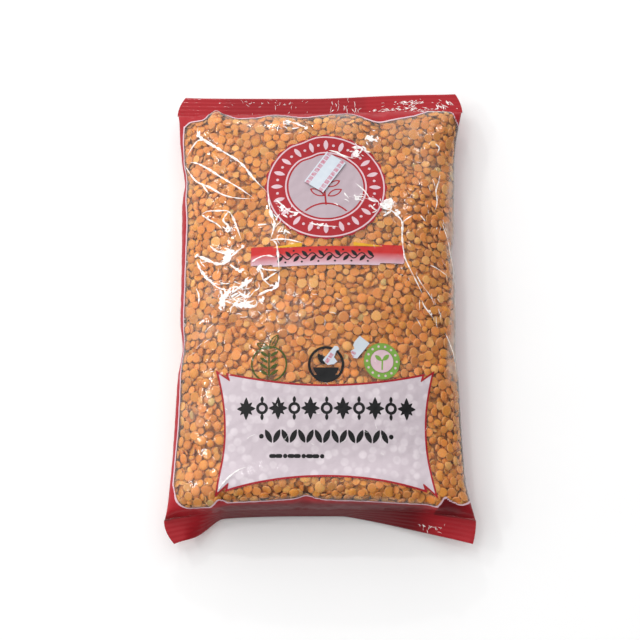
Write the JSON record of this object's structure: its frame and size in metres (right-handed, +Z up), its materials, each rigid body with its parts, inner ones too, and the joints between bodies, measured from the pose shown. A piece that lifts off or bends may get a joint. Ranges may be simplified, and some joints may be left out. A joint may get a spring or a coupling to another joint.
{
  "type": "bag of lentils",
  "caption": "Clear printed film bag of split red lentils with crimped seals at both ends, lying flat on its back with the printed face up.",
  "frame": {"origin": "under the middle of the bag, on the surface that it lies on", "axes": "+X across the bag to the right of the printed face, +Y from the bottom seal to the top seal, +Z up out of the printed face"},
  "size_m": [0.1602, 0.2507, 0.0438],
  "materials": {
    "clear_film": "clear gloss food film, creased, with split red lentils showing through it",
    "red_print": "red ink under gloss film",
    "pale_print": "pale translucent ink under gloss film",
    "dark_print": "near black ink under gloss film",
    "green_print": "green ink under gloss film",
    "lentils": "dull satin dry split pulses, salmon, orange and ochre",
    "label_paper": "matt white pricing label paper with pink printed edges"
  },
  "bodies": {
    "root": {"bag": "clear_film", "price_label": "label_paper", "label_scrap_left": "label_paper", "label_scrap_right": "label_paper"}
  },
  "joints": []
}
